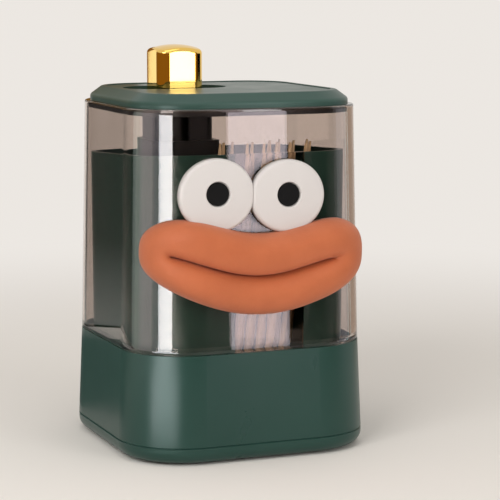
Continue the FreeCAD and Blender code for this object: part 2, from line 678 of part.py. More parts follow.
def make_rack_carriage():
    """Plate pushed down by the button, with the rack that turns the pinion."""
    head_bottom = HEAD_TOP_Z - HEAD_HEIGHT
    head = block(HEAD_HALF, HEAD_RADIUS, head_bottom, HEAD_TOP_Z, TOWER_X, TOWER_Y)
    left = -TOWER_INNER_HALF + SLIDE_GAP
    bar = tower_box(left, CARRIAGE_PITCH_X - DEDENDUM, PINION_FRONT_Y,
                    GEAR_FRONT_Y - 2 * LAYER_GAP, CARRIAGE_BAR_BOTTOM_Z, head_bottom)
    teeth = rack_teeth(CARRIAGE_PITCH_X, 1, CARRIAGE_LOWER_TEETH, CARRIAGE_UPPER_TEETH,
                       PINION_FRONT_Y, GEAR_FRONT_Y - 2 * LAYER_GAP)
    nub = rod(SPRING_NUB_RADIUS, head_bottom - SPRING_NUB_HEIGHT, head_bottom,
              TOWER_X + SPRING_X, TOWER_Y)
    return join([head, bar, nub] + teeth)


FINGER_TOP_Z = BIN_FLOOR_Z


def make_lifter():
    """Second rack, driven upwards, with the finger that carries one toothpick."""
    right = TOWER_INNER_HALF - SLIDE_GAP
    bar = tower_box(LIFTER_PITCH_X + DEDENDUM, right, GEAR_FRONT_Y - LAYER_GAP / 2,
                    GEAR_BACK_Y + LAYER_GAP / 2, LIFTER_BAR_BOTTOM_Z, LIFTER_BAR_TOP_Z)
    teeth = rack_teeth(LIFTER_PITCH_X, -1, LIFTER_LOWER_TEETH, LIFTER_UPPER_TEETH,
                       GEAR_FRONT_Y - LAYER_GAP / 2, GEAR_BACK_Y + LAYER_GAP / 2)
    finger = tower_box(right, LANE_X + FINGER_REACH, LANE_Y - FINGER_HALF,
                       LANE_Y + FINGER_HALF, FINGER_TOP_Z - FINGER_THICKNESS, FINGER_TOP_Z)
    return join([bar, finger] + teeth)


def tower_body():
    """Both tower halves in one piece: square tube, foot, flange, seats and toothpick groove."""
    foot_z = COVER_TOP_Z
    tube = block(TOWER_HALF, TOWER_RADIUS, foot_z, TOWER_TOP_Z, TOWER_X, TOWER_Y)
    foot = block(TOWER_FOOT_HALF, TOWER_RADIUS, foot_z, foot_z + TOWER_FOOT_HEIGHT,
                 TOWER_X, TOWER_Y)
    flange = block(TOWER_FLANGE_HALF, TOWER_RADIUS, BIN_FLOOR_Z,
                   BIN_FLOOR_Z + TOWER_FLANGE_HEIGHT, TOWER_X, TOWER_Y)
    bosses = [rod(TOWER_BOSS_RADIUS, foot_z, foot_z + TOWER_BOSS_HEIGHT, x, y)
              for x, y in four_corners(TOWER_SCREW_AT, TOWER_X, TOWER_Y)]
    ribs = [tower_box(TOWER_HALF - TOWER_WALL / 2, TOWER_HALF + RIB_REACH, near, near + RIB_THICKNESS,
                      BIN_FLOOR_Z, RIB_TOP_Z)
            for near in (LANE_Y - SLOT_HALF - RIB_THICKNESS, LANE_Y + SLOT_HALF)]
    body = join([tube, foot, flange] + bosses + ribs)
    body = body.cut(block(TOWER_INNER_HALF, TOWER_INNER_RADIUS, foot_z, TOWER_TOP_Z,
                          TOWER_X, TOWER_Y))
    seat = tower_box(SPRING_X - SPRING_SEAT_HALF, SPRING_X + SPRING_SEAT_HALF,
                     -TOWER_HALF + TOWER_WALL / 2, TOWER_HALF - TOWER_WALL / 2,
                     SPRING_SEAT_Z - SPRING_SEAT_HEIGHT, SPRING_SEAT_Z)
    nub = rod(SPRING_NUB_RADIUS, SPRING_SEAT_Z, SPRING_SEAT_Z + SPRING_NUB_HEIGHT,
              TOWER_X + SPRING_X, TOWER_Y)
    wall_side = TOWER_HALF - TOWER_WALL / 2
    collars = [depth_rod(AXLE_BOSS_RADIUS, TOWER_Y - wall_side,
                         TOWER_Y + PINION_FRONT_Y - LAYER_GAP, TOWER_X + AXLE_X, AXLE_Z),
               depth_rod(AXLE_BOSS_RADIUS, TOWER_Y + GEAR_BACK_Y + LAYER_GAP,
                         TOWER_Y + wall_side, TOWER_X + AXLE_X, AXLE_Z)]
    body = join([body, seat, nub] + collars)
    reach = TOWER_INNER_HALF + AXLE_SEAT_DEPTH
    body = body.cut(depth_rod(AXLE_RADIUS, TOWER_Y - reach, TOWER_Y + reach,
                              TOWER_X + AXLE_X, AXLE_Z))
    lifted = GEAR_TEETH * BUTTON_STROKE / PINION_TEETH
    slot = finger_notch(FINGER_TOP_Z - FINGER_THICKNESS - SLIDE_GAP,
                        FINGER_TOP_Z + lifted + SLOT_SPARE, 0.0)
    body = body.cut(slot)
    screw_top = COVER_BOTTOM_Z + TOWER_COUNTERBORE_DEPTH + TOWER_SCREW_LENGTH
    for x, y in four_corners(TOWER_SCREW_AT, TOWER_X, TOWER_Y):
        body = body.cut(rod(TOWER_SCREW_RADIUS + THREAD_FIT, foot_z, screw_top + THREAD_FIT, x, y))
    return body


def make_tower_halves():
    """The moulded tower, split front and back so that the gear can be laid in."""
    body = tower_body()
    reach = 2 * TOWER_FOOT_HALF
    front = body.common(tower_box(-reach, reach, -reach, 0.0, 0.0, LID_TOP_Z))
    back = body.common(tower_box(-reach, reach, 0.0, reach, 0.0, LID_TOP_Z))
    return front, back


def make_return_spring():
    """Compression spring between the tower's seat and the carriage head."""
    low = SPRING_SEAT_Z + SPRING_WIRE_RADIUS
    high = HEAD_TOP_Z - HEAD_HEIGHT - SPRING_WIRE_RADIUS
    centre = V(TOWER_X + SPRING_X, TOWER_Y, low)

    def on_coil(turn):
        angle = 2 * math.pi * turn
        return centre.add(V(SPRING_RADIUS * math.cos(angle), SPRING_RADIUS * math.sin(angle),
                            (high - low) * turn / SPRING_TURNS))

    arcs = [Part.Arc(on_coil(quarter / 4), on_coil((quarter + 0.5) / 4),
                     on_coil((quarter + 1) / 4)).toShape()
            for quarter in range(4 * SPRING_TURNS)]
    start = arcs[0].tangentAt(arcs[0].FirstParameter)
    ring = Part.Wire(Part.Circle(on_coil(0), start, SPRING_WIRE_RADIUS).toShape())
    return Part.Wire(arcs).makePipeShell([ring], True, False)


def stadium(length, width, low, high):
    """Upright slot-shaped block centred on the button."""
    straight = (length - width) / 2
    ends = [rod(width / 2, low, high, TOWER_X + side * straight, TOWER_Y) for side in (-1, 1)]
    middle = tower_box(-straight, straight, -width / 2, width / 2, low, high)
    return join([middle] + ends)


def make_lid_shell():
    """Moulded lid: bevelled edge, shallow top panel, opening around the button, screw bosses."""
    lid = block(LID_HALF, LID_RADIUS, SLEEVE_TOP_Z, LID_TOP_Z)
    lid = lid.makeChamfer(LID_BEVEL_HEIGHT, LID_BEVEL_WIDTH, edges_at(lid, LID_TOP_Z))
    bevel_z = LID_TOP_Z - LID_BEVEL_HEIGHT
    lid = lid.makeFillet(LID_ROUND, edges_at(lid, LID_TOP_Z) + edges_at(lid, bevel_z))
    roof_z = LID_TOP_Z - LID_ROOF
    lid = lid.cut(block(LID_HALF - LID_WALL, LID_RADIUS - LID_WALL, SLEEVE_TOP_Z, roof_z))
    bosses = [rod(LID_BOSS_RADIUS, LINER_PLATE_TOP_Z, roof_z, x, y)
              for x, y in four_corners(LID_SCREW_AT)]
    lid = join([lid] + bosses)
    lid = lid.cut(block(PANEL_HALF, PANEL_RADIUS, LID_TOP_Z - PANEL_DEPTH, LID_TOP_Z))
    lid = lid.cut(stadium(STADIUM_LENGTH, STADIUM_WIDTH, SLEEVE_TOP_Z, LID_TOP_Z))
    screw_top = LINER_PLATE_TOP_Z - LINER_PLATE + LID_SCREW_LENGTH
    for x, y in four_corners(LID_SCREW_AT):
        lid = lid.cut(rod(LID_SCREW_RADIUS + THREAD_FIT, LINER_PLATE_TOP_Z,
                          screw_top + THREAD_FIT, x, y))
    return lid


LINER_BOTTOM_Z = LINER_PLATE_TOP_Z - LINER_PLATE


def make_lid_liner():
    """Dark inner lid: plate, plug ring for the sleeve, button tube and toothpick outlet."""
    plate = block(LINER_PLATE_HALF, LINER_PLATE_RADIUS, LINER_BOTTOM_Z, LINER_PLATE_TOP_Z)
    plug = block(PLUG_HALF, PLUG_RADIUS, PLUG_BOTTOM_Z, PLUG_TOP_Z)
    plug = plug.cut(block(PLUG_HALF - PLUG_WALL, PLUG_RADIUS - PLUG_WALL, PLUG_BOTTOM_Z,
                          LINER_BOTTOM_Z))
    tube = block(TUBE_HALF, TUBE_RADIUS, TUBE_BOTTOM_Z, LINER_BOTTOM_Z, TOWER_X, TOWER_Y)
    floor_z = LID_TOP_Z - STADIUM_RECESS
    island = stadium(STADIUM_LENGTH - 2 * STADIUM_FIT, STADIUM_WIDTH - 2 * STADIUM_FIT,
                     LINER_PLATE_TOP_Z, floor_z)
    liner = join([plate, plug, tube, island])
    liner = liner.cut(block(BUTTON_HOLE_HALF, BUTTON_HOLE_RADIUS, TUBE_BOTTOM_Z, floor_z,
                            TOWER_X, TOWER_Y))
    lane = (TOWER_X + LANE_X, TOWER_Y + LANE_Y)
    liner = liner.cut(rod(OUTLET_RADIUS, LINER_BOTTOM_Z, floor_z, *lane))
    funnel = Part.makeCone(OUTLET_FUNNEL_RADIUS, OUTLET_RADIUS, OUTLET_FUNNEL_DEPTH,
                           V(lane[0], lane[1], LINER_BOTTOM_Z), UP)
    liner = liner.cut(funnel)
    for side in (-1, 1):
        near, far = sorted((side * BUTTON_HOLE_HALF / 2, side * (TUBE_HALF + TUBE_RADIUS)))
        slot_half = LUG_HALF + LUG_SIDE_GAP
        low = TUBE_BOTTOM_Z + EDGE_BREAK
        liner = liner.cut(tower_box(-slot_half, slot_half, near, far, low, LINER_BOTTOM_Z))
    for x, y in four_corners(LID_SCREW_AT):
        liner = liner.cut(rod(LID_SCREW_RADIUS + THREAD_FIT, LINER_BOTTOM_Z,
                              LINER_PLATE_TOP_Z, x, y))
    return liner


def make_lid_screws():
    """Four screws that hold the liner in the lid."""
    head_bottom = LINER_BOTTOM_Z - LID_HEAD_HEIGHT
    return Part.makeCompound([
        flat_head_screw(x, y, head_bottom, LID_HEAD_RADIUS, LID_HEAD_HEIGHT,
                        LID_SCREW_RADIUS, LID_SCREW_LENGTH)
        for x, y in four_corners(LID_SCREW_AT)])


CAP_BOTTOM_Z = LINER_BOTTOM_Z - STEM_STOP_GAP


def make_button_cap():
    """Plated cap: hollow rounded square with a rounded, slightly domed top."""
    cap = block(CAP_HALF, CAP_RADIUS, CAP_BOTTOM_Z, CAP_TOP_Z, TOWER_X, TOWER_Y)
    cap = cap.common(Part.makeSphere(CAP_DOME_RADIUS,
                                     V(TOWER_X, TOWER_Y, CAP_TOP_Z - CAP_DOME_RADIUS)))
    rim = [edge for edge in cap.Edges if edge.BoundBox.ZMin > CAP_TOP_Z - CAP_WALL - CAP_ROUND]
    cap = cap.makeFillet(CAP_ROUND, rim)
    inner_top = CAP_TOP_Z - 2 * CAP_WALL - CAP_ROUND
    return cap.cut(block(CAP_HALF - CAP_WALL, CAP_RADIUS - CAP_WALL, CAP_BOTTOM_Z, inner_top,
                         TOWER_X, TOWER_Y))


def make_button_stem():
    """Plug inside the cap, collar with two stop lugs, and the post that pushes the carriage."""
    plug_half = CAP_HALF - CAP_WALL - STEM_PLUG_GAP
    plug = block(plug_half, CAP_RADIUS - CAP_WALL - STEM_PLUG_GAP, CAP_BOTTOM_Z,
                 CAP_BOTTOM_Z + STEM_PLUG_HEIGHT, TOWER_X, TOWER_Y)
    collar = block(CAP_HALF, CAP_RADIUS, CAP_BOTTOM_Z - STEM_COLLAR, CAP_BOTTOM_Z,
                   TOWER_X, TOWER_Y)
    lug_reach = CAP_HALF + LUG_REACH
    lugs = tower_box(-LUG_HALF, LUG_HALF, -lug_reach, lug_reach,
                     CAP_BOTTOM_Z - STEM_COLLAR, CAP_BOTTOM_Z)
    post = block(STEM_POST_HALF, STEM_POST_RADIUS, HEAD_TOP_Z, CAP_BOTTOM_Z - STEM_COLLAR,
                 TOWER_X, TOWER_Y)
    hollow = block(STEM_POST_HALF - CAP_WALL, STEM_POST_RADIUS / 2, CAP_BOTTOM_Z - STEM_COLLAR,
                   CAP_BOTTOM_Z + STEM_PLUG_HEIGHT, TOWER_X, TOWER_Y)
    return join([plug, collar, lugs, post]).cut(hollow)


def toothpick(foot, tip):
    """Round wooden pick, pointed at both ends, standing on foot and leaning to tip."""
    shoulder = PICK_LENGTH - PICK_TAPER
    outline = Part.makePolygon([V(0, 0, 0), V(PICK_TIP_RADIUS, 0, 0), V(PICK_RADIUS, 0, PICK_TAPER),
                                V(PICK_RADIUS, 0, shoulder),
                                V(PICK_TIP_RADIUS, 0, PICK_LENGTH), V(0, 0, PICK_LENGTH),
                                V(0, 0, 0)])
    pick = Part.Face(outline).revolve(V(0, 0, 0), UP, 360)
    lean = tip.sub(foot)
    pick.Placement = FreeCAD.Placement(foot, FreeCAD.Rotation(UP, lean))
    return pick


def make_toothpicks():
    """Loose toothpicks standing on the hopper floor, fanned a little to the right."""
    picks = []
    spread = BIN_TOP_HALF - PICK_SIDE_ROOM
    for row, sticks in enumerate(PICK_ROW_SHARES):
        y = PICK_FRONT_ROOM - BIN_TOP_HALF + row * PICK_ROW_PITCH
        for foot_share, lean_share in sticks:
            shift = lean_share * spread
            tilt = math.asin(shift / PICK_LENGTH)
            rise = PICK_TIP_RADIUS * math.sin(tilt) + PICK_TIP_SINK
            foot = V(foot_share * spread, y, BIN_FLOOR_Z + rise)
            picks.append(toothpick(foot, foot.add(V(shift, 0, PICK_LENGTH * math.cos(tilt)))))
    return Part.makeCompound(picks)


def make_served_toothpick():
    """The toothpick that stands on the lifting finger, ready to be served."""
    foot = V(TOWER_X + LANE_X, TOWER_Y + LANE_Y, FINGER_TOP_Z + PICK_TIP_SINK)
    return toothpick(foot, foot.add(V(0, 0, PICK_LENGTH)))


def glued_body():
    """The sleeve with its film of glue as a solid, to shape what is stuck on its front."""
    return body_inset(SLEEVE_BOTTOM_Z, SLEEVE_TOP_Z, -GLUE_GAP)


def eye_centres():
    """Centres of the two eyes along X and Z; the right one sits a little lower."""
    return ((EYES_X - EYE_SPACING / 2, EYE_Z),
            (EYES_X + EYE_SPACING / 2, EYE_Z - RIGHT_EYE_DROP))


def make_eye(x, z):
    """Round white disc with a softened front edge and a pocket for the pupil."""
    eye = depth_rod(EYE_RADIUS, EYE_FRONT_Y, EYE_FRONT_Y + EYE_THICKNESS, x, z)
    front = [e for e in eye.Edges if abs(e.BoundBox.YMax - EYE_FRONT_Y) < EDGE_BREAK]
    eye = eye.makeFillet(EYE_ROUND, front)
    eye = eye.cut(depth_rod(PUPIL_HOLE_RADIUS, EYE_FRONT_Y - OVERSHOOT,
                            EYE_FRONT_Y + PUPIL_HOLE_DEPTH, x, z))
    return eye.cut(glued_body())


def make_pupil(x, z):
    """Black disc glued in the eye's pocket."""
    floor_y = EYE_FRONT_Y + PUPIL_HOLE_DEPTH
    pupil = depth_rod(PUPIL_RADIUS, floor_y - PUPIL_THICKNESS, floor_y, x, z)
    front = [e for e in pupil.Edges if abs(e.BoundBox.YMax - floor_y + PUPIL_THICKNESS) < EDGE_BREAK]
    return pupil.makeFillet(EDGE_BREAK, front)


def mouth_tilt():
    """The turn that sets the mouth slightly askew: its centre, its axis and its angle."""
    return V(LIPS_X, 0, CREASE_TOP_Z), V(0, 1, 0), LIP_TILT_DEG


def make_lips():
    """Soft moulded lips that follow the rounded front, with a curved mouth crease."""
    points = [(across * LIP_SIZE, CREASE_TOP_Z + up * LIP_SIZE)
              for across, up in LIP_OUTLINE_SHARES]
    right = [V(LIPS_X + x, 0, z) for x, z in points]
    left = [V(LIPS_X - x, 0, z) for x, z in reversed(points[1:-1])]
    curve = Part.BSplineCurve()
    curve.interpolate(Points=right + left, PeriodicFlag=True)
    outline = Part.Face(Part.Wire(curve.toShape()))
    outline.translate(V(0, LIP_FRONT_Y - OVERSHOOT / 2, 0))
    outline.rotate(*mouth_tilt())
    plan = rounded_square(LIP_PLAN_HALF, LIP_PLAN_RADIUS, 0.0, 0.0, LIP_FRONT_Y + LIP_PLAN_HALF)
    lips = outline.extrude(V(0, LIP_BLANK_DEPTH, 0))
    lips = lips.common(Part.Face(plan).extrude(V(0, 0, LID_TOP_Z)))
    rim = [edge for edge in lips.Edges
           if edge.valueAt(edge.LastParameter / 2 + edge.FirstParameter / 2).y
           < LIP_FRONT_Y + LIP_PLAN_RADIUS]
    lips = lips.makeFillet(LIP_ROUND, rim)
    ends = (V(LIPS_X - CREASE_HALF_LENGTH, 0, CREASE_END_Z),
            V(LIPS_X + CREASE_HALF_LENGTH, 0, CREASE_END_Z))
    upper = Part.Arc(ends[0], V(LIPS_X, 0, CREASE_TOP_Z), ends[1]).toShape()
    lower = Part.Arc(ends[0], V(LIPS_X, 0, CREASE_BOTTOM_Z), ends[1]).toShape()
    crease = Part.Face(Part.Wire(Part.__sortEdges__([upper, lower])))
    crease.translate(V(0, CREASE_FLOOR_Y, 0))
    crease.rotate(*mouth_tilt())
    lips = lips.cut(crease.extrude(V(0, -SEAM_HALF, 0)))
    for x, z in eye_centres():
        lips = lips.cut(depth_rod(EYE_RADIUS + LIP_SEAT_GAP, -2 * SEAM_HALF, 0, x, z))
    return lips.cut(glued_body())


def main():
    """Build every part and write it out."""
    tower_front, tower_back = make_tower_halves()
    left_eye_centre, right_eye_centre = eye_centres()
    parts = {
        "base_skirt": make_base_skirt(),
        "bottom_cover": make_bottom_cover(),
        "rubber_feet": make_rubber_feet(),
        "base_screws": make_base_screws(),
        "tower_screws": make_tower_screws(),
        "window_sleeve": make_window_sleeve(),
        "hopper_bin": make_hopper_bin(),
        "hopper_pane": make_hopper_pane(),
        "tower_front": tower_front,
        "tower_back": tower_back,
        "gear_axle": make_gear_axle(),
        "drive_gear": make_drive_gear(),
        "rack_carriage": make_rack_carriage(),
        "lifter": make_lifter(),
        "return_spring": make_return_spring(),
        "served_toothpick": make_served_toothpick(),
        "toothpicks": make_toothpicks(),
        "lid_shell": make_lid_shell(),
        "lid_liner": make_lid_liner(),
        "lid_screws": make_lid_screws(),
        "button_cap": make_button_cap(),
        "button_stem": make_button_stem(),
        "left_eye": make_eye(*left_eye_centre),
        "right_eye": make_eye(*right_eye_centre),
        "left_pupil": make_pupil(*left_eye_centre),
        "right_pupil": make_pupil(*right_eye_centre),
        "lips": make_lips(),
    }
    os.makedirs("parts", exist_ok=True)
    for name, shape in parts.items():
        shape.translate(V(0, FRAME_SHIFT_Y, 0))
        shape.exportStep("parts/" + name + ".step")


main()
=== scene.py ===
"""Toothpick dispenser with a smoky clear window, a comic face and a gold push button in its lid."""
import math

import bmesh
import bpy
import numpy as np
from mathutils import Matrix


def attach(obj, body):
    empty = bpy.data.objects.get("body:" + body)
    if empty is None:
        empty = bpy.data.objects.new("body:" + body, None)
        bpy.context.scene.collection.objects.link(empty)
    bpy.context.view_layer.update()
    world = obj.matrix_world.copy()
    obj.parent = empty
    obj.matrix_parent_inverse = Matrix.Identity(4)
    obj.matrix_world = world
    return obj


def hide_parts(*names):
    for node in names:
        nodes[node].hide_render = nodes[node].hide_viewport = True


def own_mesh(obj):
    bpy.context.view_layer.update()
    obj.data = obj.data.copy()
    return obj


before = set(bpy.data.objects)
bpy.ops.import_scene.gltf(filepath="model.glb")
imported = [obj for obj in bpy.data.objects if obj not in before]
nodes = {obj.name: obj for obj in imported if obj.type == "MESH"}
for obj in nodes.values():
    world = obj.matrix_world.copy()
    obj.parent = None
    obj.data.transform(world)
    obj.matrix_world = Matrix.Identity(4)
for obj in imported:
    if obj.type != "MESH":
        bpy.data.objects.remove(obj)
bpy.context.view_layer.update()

# Camera: it stands where the photograph was taken from, a little above the lid and to the left
# of the face, with a long lens, and looks past the dispenser's right-hand side.
azimuth = math.radians(-22.0)
elevation = math.radians(8.0)
camera_distance = 0.5767
aim = np.array([0.0, 0.003, 0.054])
aim_to_the_right = 0.0094
photo_width = 500.0
focal_pixels = 2000.0
backwards = np.array([math.sin(azimuth) * math.cos(elevation),
                      -math.cos(azimuth) * math.cos(elevation), math.sin(elevation)])
rightwards = np.array([math.cos(azimuth), math.sin(azimuth), 0.0])
camera_data = bpy.data.cameras.new("camera")
camera_data.sensor_width = 36.0
camera_data.lens = focal_pixels / photo_width * camera_data.sensor_width
camera = bpy.data.objects.new("camera", camera_data)
camera.location = aim + aim_to_the_right * rightwards + camera_distance * backwards
camera.rotation_euler = (math.pi / 2 - elevation, 0.0, azimuth)
bpy.context.scene.collection.objects.link(camera)
bpy.context.scene.camera = camera
bpy.context.scene.view_settings.view_transform = "Standard"


# Floor: a pale table top that runs to the horizon and keeps the dispenser's shadow.
# It is a disc of rings around the dispenser, painted a warm near white.
def surface(name, points, close_rows=False, close_columns=False):
    """A mesh over a grid of points (rows, columns, 3): each cell of the grid is one face.

    With a leading axis (copies, rows, columns, 3) every copy gets a grid of its own.
    """
    copies = points.reshape((-1,) + points.shape[-3:])
    rows, columns = copies.shape[1:3]
    index = np.arange(rows * columns).reshape(rows, columns)
    if close_rows:
        index = np.vstack([index, index[:1]])
    if close_columns:
        index = np.hstack([index, index[:, :1]])
    corners = (index[:-1, :-1], index[:-1, 1:], index[1:, 1:], index[1:, :-1])
    faces = np.stack([corner.ravel() for corner in corners], axis=1)
    faces = faces + (np.arange(len(copies)) * rows * columns)[:, None, None]
    mesh = bpy.data.meshes.new(name)
    mesh.from_pydata(points.reshape(-1, 3).tolist(), [], faces.reshape(-1, 4).tolist())
    piece = bpy.data.objects.new(name, mesh)
    bpy.context.scene.collection.objects.link(piece)
    return piece


def finish_mesh(piece, weld=1e-6):
    """Merges doubled points, turns the faces outwards and shades them smooth."""
    work = bmesh.new()
    work.from_mesh(piece.data)
    bmesh.ops.remove_doubles(work, verts=work.verts, dist=weld)
    bmesh.ops.dissolve_degenerate(work, edges=work.edges, dist=weld / 10)
    bmesh.ops.recalc_face_normals(work, faces=work.faces)
    work.to_mesh(piece.data)
    work.free()
    piece.data.polygons.foreach_set("use_smooth", np.ones(len(piece.data.polygons), dtype=bool))


def material(name, **sockets):
    """A Principled material with its plain sockets set; returns material, tree and shader."""
    made = bpy.data.materials.new(name)
    made.use_nodes = True
    shader = made.node_tree.nodes["Principled BSDF"]
    for label, value in sockets.items():
        shader.inputs[label.replace("_", " ")].default_value = value
    return made, made.node_tree, shader


floor_reach = 30.0
ring_radii = np.array([0.0, 0.2, 1.0, 5.0, floor_reach])
ring_sides = 48
ring_angles = np.linspace(0.0, 2 * math.pi, ring_sides, endpoint=False)
floor_points = np.zeros((len(ring_radii), len(ring_angles), 3))
floor_points[..., 0] = ring_radii[:, None] * np.cos(ring_angles)
floor_points[..., 1] = ring_radii[:, None] * np.sin(ring_angles)
floor = surface("floor", floor_points, close_columns=True)
floor_paint, floor_tree, floor_shader = material("floor_paint", Roughness=0.75,
                                                 Specular_IOR_Level=0.0,
                                                 Base_Color=(0.90, 0.87, 0.83, 1.0))
floor.data.materials.append(floor_paint)


def seen_share(tree):
    """1 where a camera, glossy or transmission ray looks, 0 for the rays that carry light."""
    path = tree.nodes.new("ShaderNodeLightPath")
    share = path.outputs["Is Camera Ray"]
    for label in ("Is Transmission Ray", "Is Glossy Ray"):
        larger = tree.nodes.new("ShaderNodeMath")
        larger.operation = "MAXIMUM"
        tree.links.new(share, larger.inputs[0])
        tree.links.new(path.outputs[label], larger.inputs[1])
        share = larger.outputs["Value"]
    return share


# Away from the dispenser the floor runs into an evenly pale backdrop, where no shadow falls: the
# shadows are whole up to the first radius and have faded at the second.
backdrop_tint = (1.0, 0.955, 0.905, 1.0)
backdrop_level = 0.84
shadow_whole = 0.10
shadow_gone = 0.42
backdrop_glow = floor_tree.nodes.new("ShaderNodeEmission")
backdrop_glow.inputs["Color"].default_value = backdrop_tint
backdrop_glow.inputs["Strength"].default_value = backdrop_level
floor_place = floor_tree.nodes.new("ShaderNodeTexCoord")
floor_distance = floor_tree.nodes.new("ShaderNodeVectorMath")
floor_distance.operation = "LENGTH"
floor_fade = floor_tree.nodes.new("ShaderNodeMapRange")
floor_fade.interpolation_type = "SMOOTHSTEP"
floor_fade.inputs["From Min"].default_value = shadow_whole
floor_fade.inputs["From Max"].default_value = shadow_gone
floor_seen = floor_tree.nodes.new("ShaderNodeMath")
floor_seen.operation = "MULTIPLY"
floor_mix = floor_tree.nodes.new("ShaderNodeMixShader")
floor_tree.links.new(floor_place.outputs["Object"], floor_distance.inputs[0])
floor_tree.links.new(floor_distance.outputs["Value"], floor_fade.inputs["Value"])
floor_tree.links.new(floor_fade.outputs["Result"], floor_seen.inputs[0])
floor_tree.links.new(seen_share(floor_tree), floor_seen.inputs[1])
floor_tree.links.new(floor_seen.outputs["Value"], floor_mix.inputs["Fac"])
floor_tree.links.new(floor_shader.outputs["BSDF"], floor_mix.inputs[1])
floor_tree.links.new(backdrop_glow.outputs["Emission"], floor_mix.inputs[2])
floor_tree.links.new(floor_mix.outputs["Shader"],
                     floor_tree.nodes["Material Output"].inputs["Surface"])

# Room: soft light from all round and a pale backdrop, a large soft box high on the left, a weak
# one above and a fill from the right of the face that leaves no mirror image.
room_light = 0.55
room = bpy.data.worlds.new("room")
room.use_nodes = True
bpy.context.scene.world = room
room_tree = room.node_tree
background = room_tree.nodes["Background"]
room_level = room_tree.nodes.new("ShaderNodeMix")
room_level.data_type = "FLOAT"
# A mix node's plain numbers are its inputs 2 and 3.
room_level.inputs[2].default_value = room_light
room_level.inputs[3].default_value = backdrop_level
room_tree.links.new(seen_share(room_tree), room_level.inputs["Factor"])
background.inputs["Color"].default_value = backdrop_tint
room_tree.links.new(room_level.outputs[0], background.inputs["Strength"])


def soft_box(name, place, look_at, width, height, radiance, tint):
    """A rectangular lamp of a given brightness that faces a point and that no camera sees."""
    lamp = bpy.data.lights.new(name, "AREA")
    lamp.shape = "RECTANGLE"
    lamp.size = width
    lamp.size_y = height
    lamp.energy = radiance * math.pi * width * height
    lamp.color = tint
    box = bpy.data.objects.new(name, lamp)
    bpy.context.scene.collection.objects.link(box)
    place = np.array(place)
    facing = np.array(look_at) - place
    flat = math.hypot(facing[0], facing[1])
    box.location = place
    box.rotation_euler = (math.atan2(flat, -facing[2]), 0.0,
                          math.atan2(facing[1], facing[0]) - math.pi / 2)
    box.visible_camera = False
    box.visible_transmission = False
    return box


warm_white = (1.0, 0.98, 0.96)
face_middle = (0.0, 0.0, 0.06)
soft_box("key_soft_box", (-0.42, -0.36, 0.34), face_middle, 0.32, 0.32, 5.0, (1.0, 0.99, 0.97))
soft_box("top_soft_box", (-0.05, -0.25, 0.80), (0.0, 0.0, 0.05), 0.5, 0.5, 0.9, warm_white)
front_fill = soft_box("front_fill", (0.52, -1.05, 0.28), face_middle, 0.5, 0.5, 4.4, warm_white)
front_fill.visible_glossy = False


# Studio cards round the dispenser, which only its reflections show. The stripe card draws the
# bright line down the window's corner, dim cards tint the walls beside it, and black paper behind
# them keeps the rest deep. Their tops end where the reflections meet the dark line under the lid.
card_columns = 24


def card(name, reach, first, last, low, high, radiance, tint=(1.0, 1.0, 1.0), fade=None):
    """A strip of a cylinder between two angles in degrees, counted from -Y towards -X.

    A fade (height, radiance) changes the glow evenly from the card's foot up to that height.
    """
    angles = np.radians(np.linspace(first, last, card_columns))
    points = np.zeros((2, len(angles), 3))
    points[..., 0] = -reach * np.sin(angles)
    points[..., 1] = -reach * np.cos(angles)
    points[..., 2] = np.array([low, high])[:, None]
    made = surface(name, points)
    paper = bpy.data.materials.new(name)
    paper.use_nodes = True
    tree = paper.node_tree
    tree.nodes.remove(tree.nodes["Principled BSDF"])
    glow = tree.nodes.new("ShaderNodeEmission")
    glow.inputs["Color"].default_value = tint + (1.0,)
    glow.inputs["Strength"].default_value = radiance
    if fade:
        place = tree.nodes.new("ShaderNodeTexCoord")
        parts = tree.nodes.new("ShaderNodeSeparateXYZ")
        level = tree.nodes.new("ShaderNodeMapRange")
        level.inputs["From Min"].default_value = low
        level.inputs["From Max"].default_value = fade[0]
        level.inputs["To Min"].default_value = radiance
        level.inputs["To Max"].default_value = fade[1]
        tree.links.new(place.outputs["Object"], parts.inputs["Vector"])
        tree.links.new(parts.outputs["Z"], level.inputs["Value"])
        tree.links.new(level.outputs["Result"], glow.inputs["Strength"])
    # Only a ray that has been reflected at least once meets the card: to the others it is clear.
    clear = tree.nodes.new("ShaderNodeBsdfTransparent")
    path = tree.nodes.new("ShaderNodeLightPath")
    reflected = tree.nodes.new("ShaderNodeMath")
    reflected.operation = "GREATER_THAN"
    reflected.inputs[1].default_value = 0.5
    mix = tree.nodes.new("ShaderNodeMixShader")
    tree.links.new(path.outputs["Glossy Depth"], reflected.inputs[0])
    tree.links.new(reflected.outputs["Value"], mix.inputs["Fac"])
    tree.links.new(clear.outputs["BSDF"], mix.inputs[1])
    tree.links.new(glow.outputs["Emission"], mix.inputs[2])
    tree.links.new(mix.outputs["Shader"], tree.nodes["Material Output"].inputs["Surface"])
    made.data.materials.append(paper)
    for kind in ("camera", "diffuse", "shadow", "volume_scatter"):
        setattr(made, "visible_" + kind, False)


